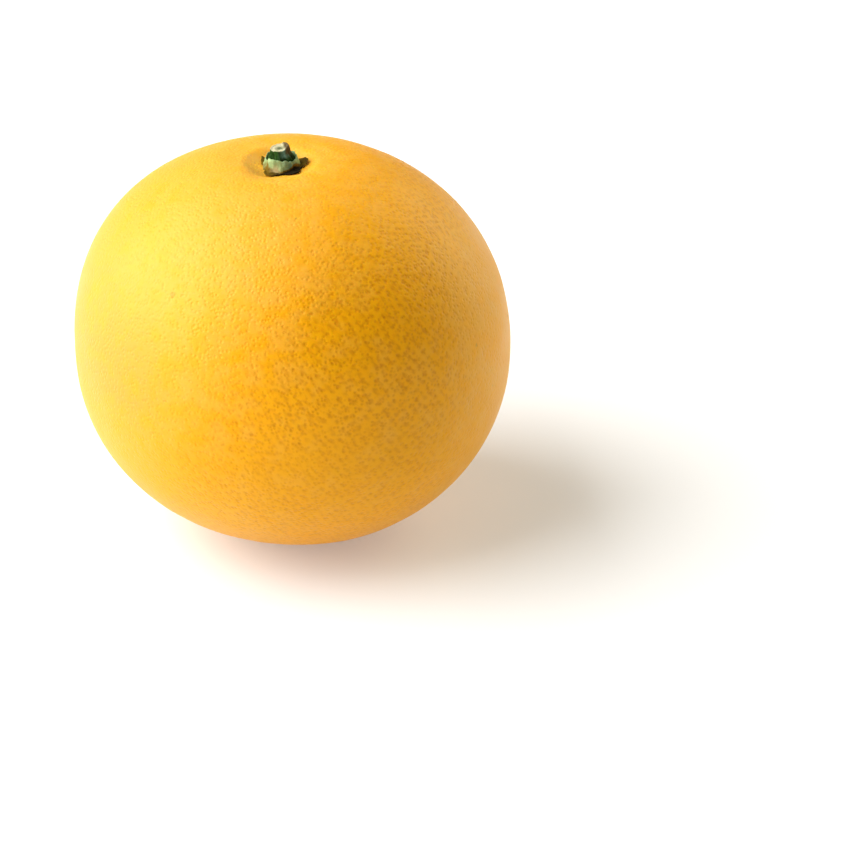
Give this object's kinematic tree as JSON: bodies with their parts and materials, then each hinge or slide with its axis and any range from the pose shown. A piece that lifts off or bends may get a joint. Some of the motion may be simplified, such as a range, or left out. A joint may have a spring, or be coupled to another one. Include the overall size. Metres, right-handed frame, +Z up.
{
  "type": "pomelo",
  "caption": "Whole ripe pomelo, a large slightly flattened citrus fruit with a golden dimpled rind, its green star-shaped calyx and a short cut stem stub on top.",
  "frame": {"origin": "on the surface the fruit stands on, under the middle of the fruit, at the centre of the flat spot at its blossom end", "axes": "+Z up, from the blossom end to the stem end; +X towards the side the stem leans away from, with the stem end 2.65 mm off the middle on -X"},
  "size_m": [0.15, 0.15, 0.1386],
  "materials": {
    "rind": "golden orange-yellow citrus rind, softly waxy, finely pitted with oil glands",
    "calyx": "pale green fleshy sepals, matt, darker and browner at the tips",
    "stem": "dark green-brown woody bark with a pale dry cut end"
  },
  "bodies": {
    "root": {"fruit": "rind", "calyx": "calyx", "stem_stub": "stem"}
  },
  "joints": []
}
